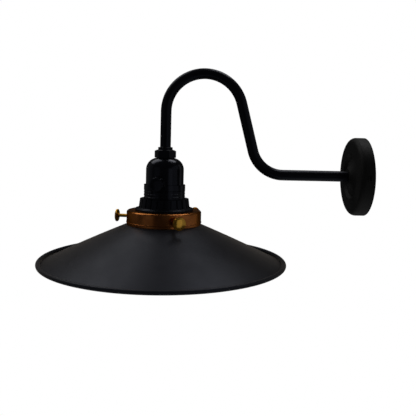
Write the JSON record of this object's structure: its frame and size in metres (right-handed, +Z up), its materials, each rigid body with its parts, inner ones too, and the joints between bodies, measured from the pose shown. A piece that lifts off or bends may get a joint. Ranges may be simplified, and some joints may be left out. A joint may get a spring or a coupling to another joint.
{
  "type": "gooseneck wall sconce",
  "caption": "Wall light with a round canopy, a gooseneck tube arm and a wide shallow cone shade hung from a copper gallery on a switched lampholder.",
  "frame": {"origin": "centre of the canopy's back on the wall plane, on the axis of the arm's level run", "axes": "+Z up, +Y into the wall, +X to the right of someone who faces the wall; the light reaches out along -Y"},
  "size_m": [0.26, 0.342, 0.2061],
  "materials": {
    "black_enamel": "satin black enamel",
    "black_bakelite": "glossy black moulded phenolic",
    "copper_plate": "aged copper plate, satin",
    "polished_brass": "polished brass",
    "contact_brass": "plain brass",
    "nickel_shell": "nickel plated",
    "zinc_steel": "zinc plated",
    "white_porcelain": "glazed porcelain",
    "white_nylon": "natural nylon",
    "dark_moulding": "dark brown moulding",
    "brown_insulation": "brown insulation",
    "blue_insulation": "blue insulation",
    "green_insulation": "green insulation, yellow trace"
  },
  "bodies": {
    "fixed_lamp": {"canopy": "black_enamel", "wall_bracket": "zinc_steel", "bracket_side_screws": "black_enamel", "terminal_block": "white_nylon", "terminal_barrels": "contact_brass", "terminal_screws": "zinc_steel", "terminal_block_screw": "zinc_steel", "earth_screw": "zinc_steel", "earth_lug": "zinc_steel", "earth_wire": "green_insulation", "arm_tube": "black_enamel", "wall_nipple": "zinc_steel", "arm_star_washer": "zinc_steel", "arm_lock_nut": "zinc_steel", "live_wire": "brown_insulation", "neutral_wire": "blue_insulation", "holder_nipple": "zinc_steel", "entry_nut": "black_enamel", "holder_cap": "black_bakelite", "holder_body": "black_bakelite", "socket_insulator": "white_porcelain", "insulator_screws": "zinc_steel", "screw_shell": "nickel_shell", "neutral_terminal_screw": "contact_brass", "contact_post": "contact_brass", "switch_housing": "dark_moulding", "switch_contacts": "contact_brass", "switch_cover": "dark_moulding", "switch_bush": "nickel_shell", "switch_ring_nut": "nickel_shell", "shade_ring": "black_bakelite", "gallery": "copper_plate", "gallery_bushes": "polished_brass", "clamp_ring": "black_bakelite", "shade": "black_enamel"},
    "switch_turner": {"switch_knob": "black_bakelite", "switch_spindle": "contact_brass", "switch_rotor": "dark_moulding", "rotor_bridge": "contact_brass"},
    "thumb_left": {"thumbscrew_left": "polished_brass"},
    "thumb_front": {"thumbscrew_front": "polished_brass"},
    "thumb_rear": {"thumbscrew_rear": "polished_brass"},
    "contact_leaf": {"centre_contact": "contact_brass"}
  },
  "joints": [
    {"name": "switch_turn", "type": "hinge", "parent": "fixed_lamp", "child": "switch_turner", "pos_m": [0, -0.212, -0.0113], "axis": [0.9613, -0.2756, 0], "continuous": true},
    {"name": "thumbscrew_left_travel", "type": "slide", "parent": "fixed_lamp", "child": "thumb_left", "axis": [-0.1736, -0.9848, 0], "range_m": [0, 0.0025]},
    {"name": "thumbscrew_front_travel", "type": "slide", "parent": "fixed_lamp", "child": "thumb_front", "axis": [0.9397, 0.342, 0], "range_m": [0, 0.0025]},
    {"name": "thumbscrew_rear_travel", "type": "slide", "parent": "fixed_lamp", "child": "thumb_rear", "axis": [-0.766, 0.6428, 0], "range_m": [0, 0.0025]},
    {"name": "contact_press", "type": "hinge", "parent": "fixed_lamp", "child": "contact_leaf", "pos_m": [0.00654, -0.20462, -0.0335], "axis": [-0.7487, 0.663, 0], "range_deg": [0, 6], "stiffness_Nm_per_rad": 0.05}
  ]
}
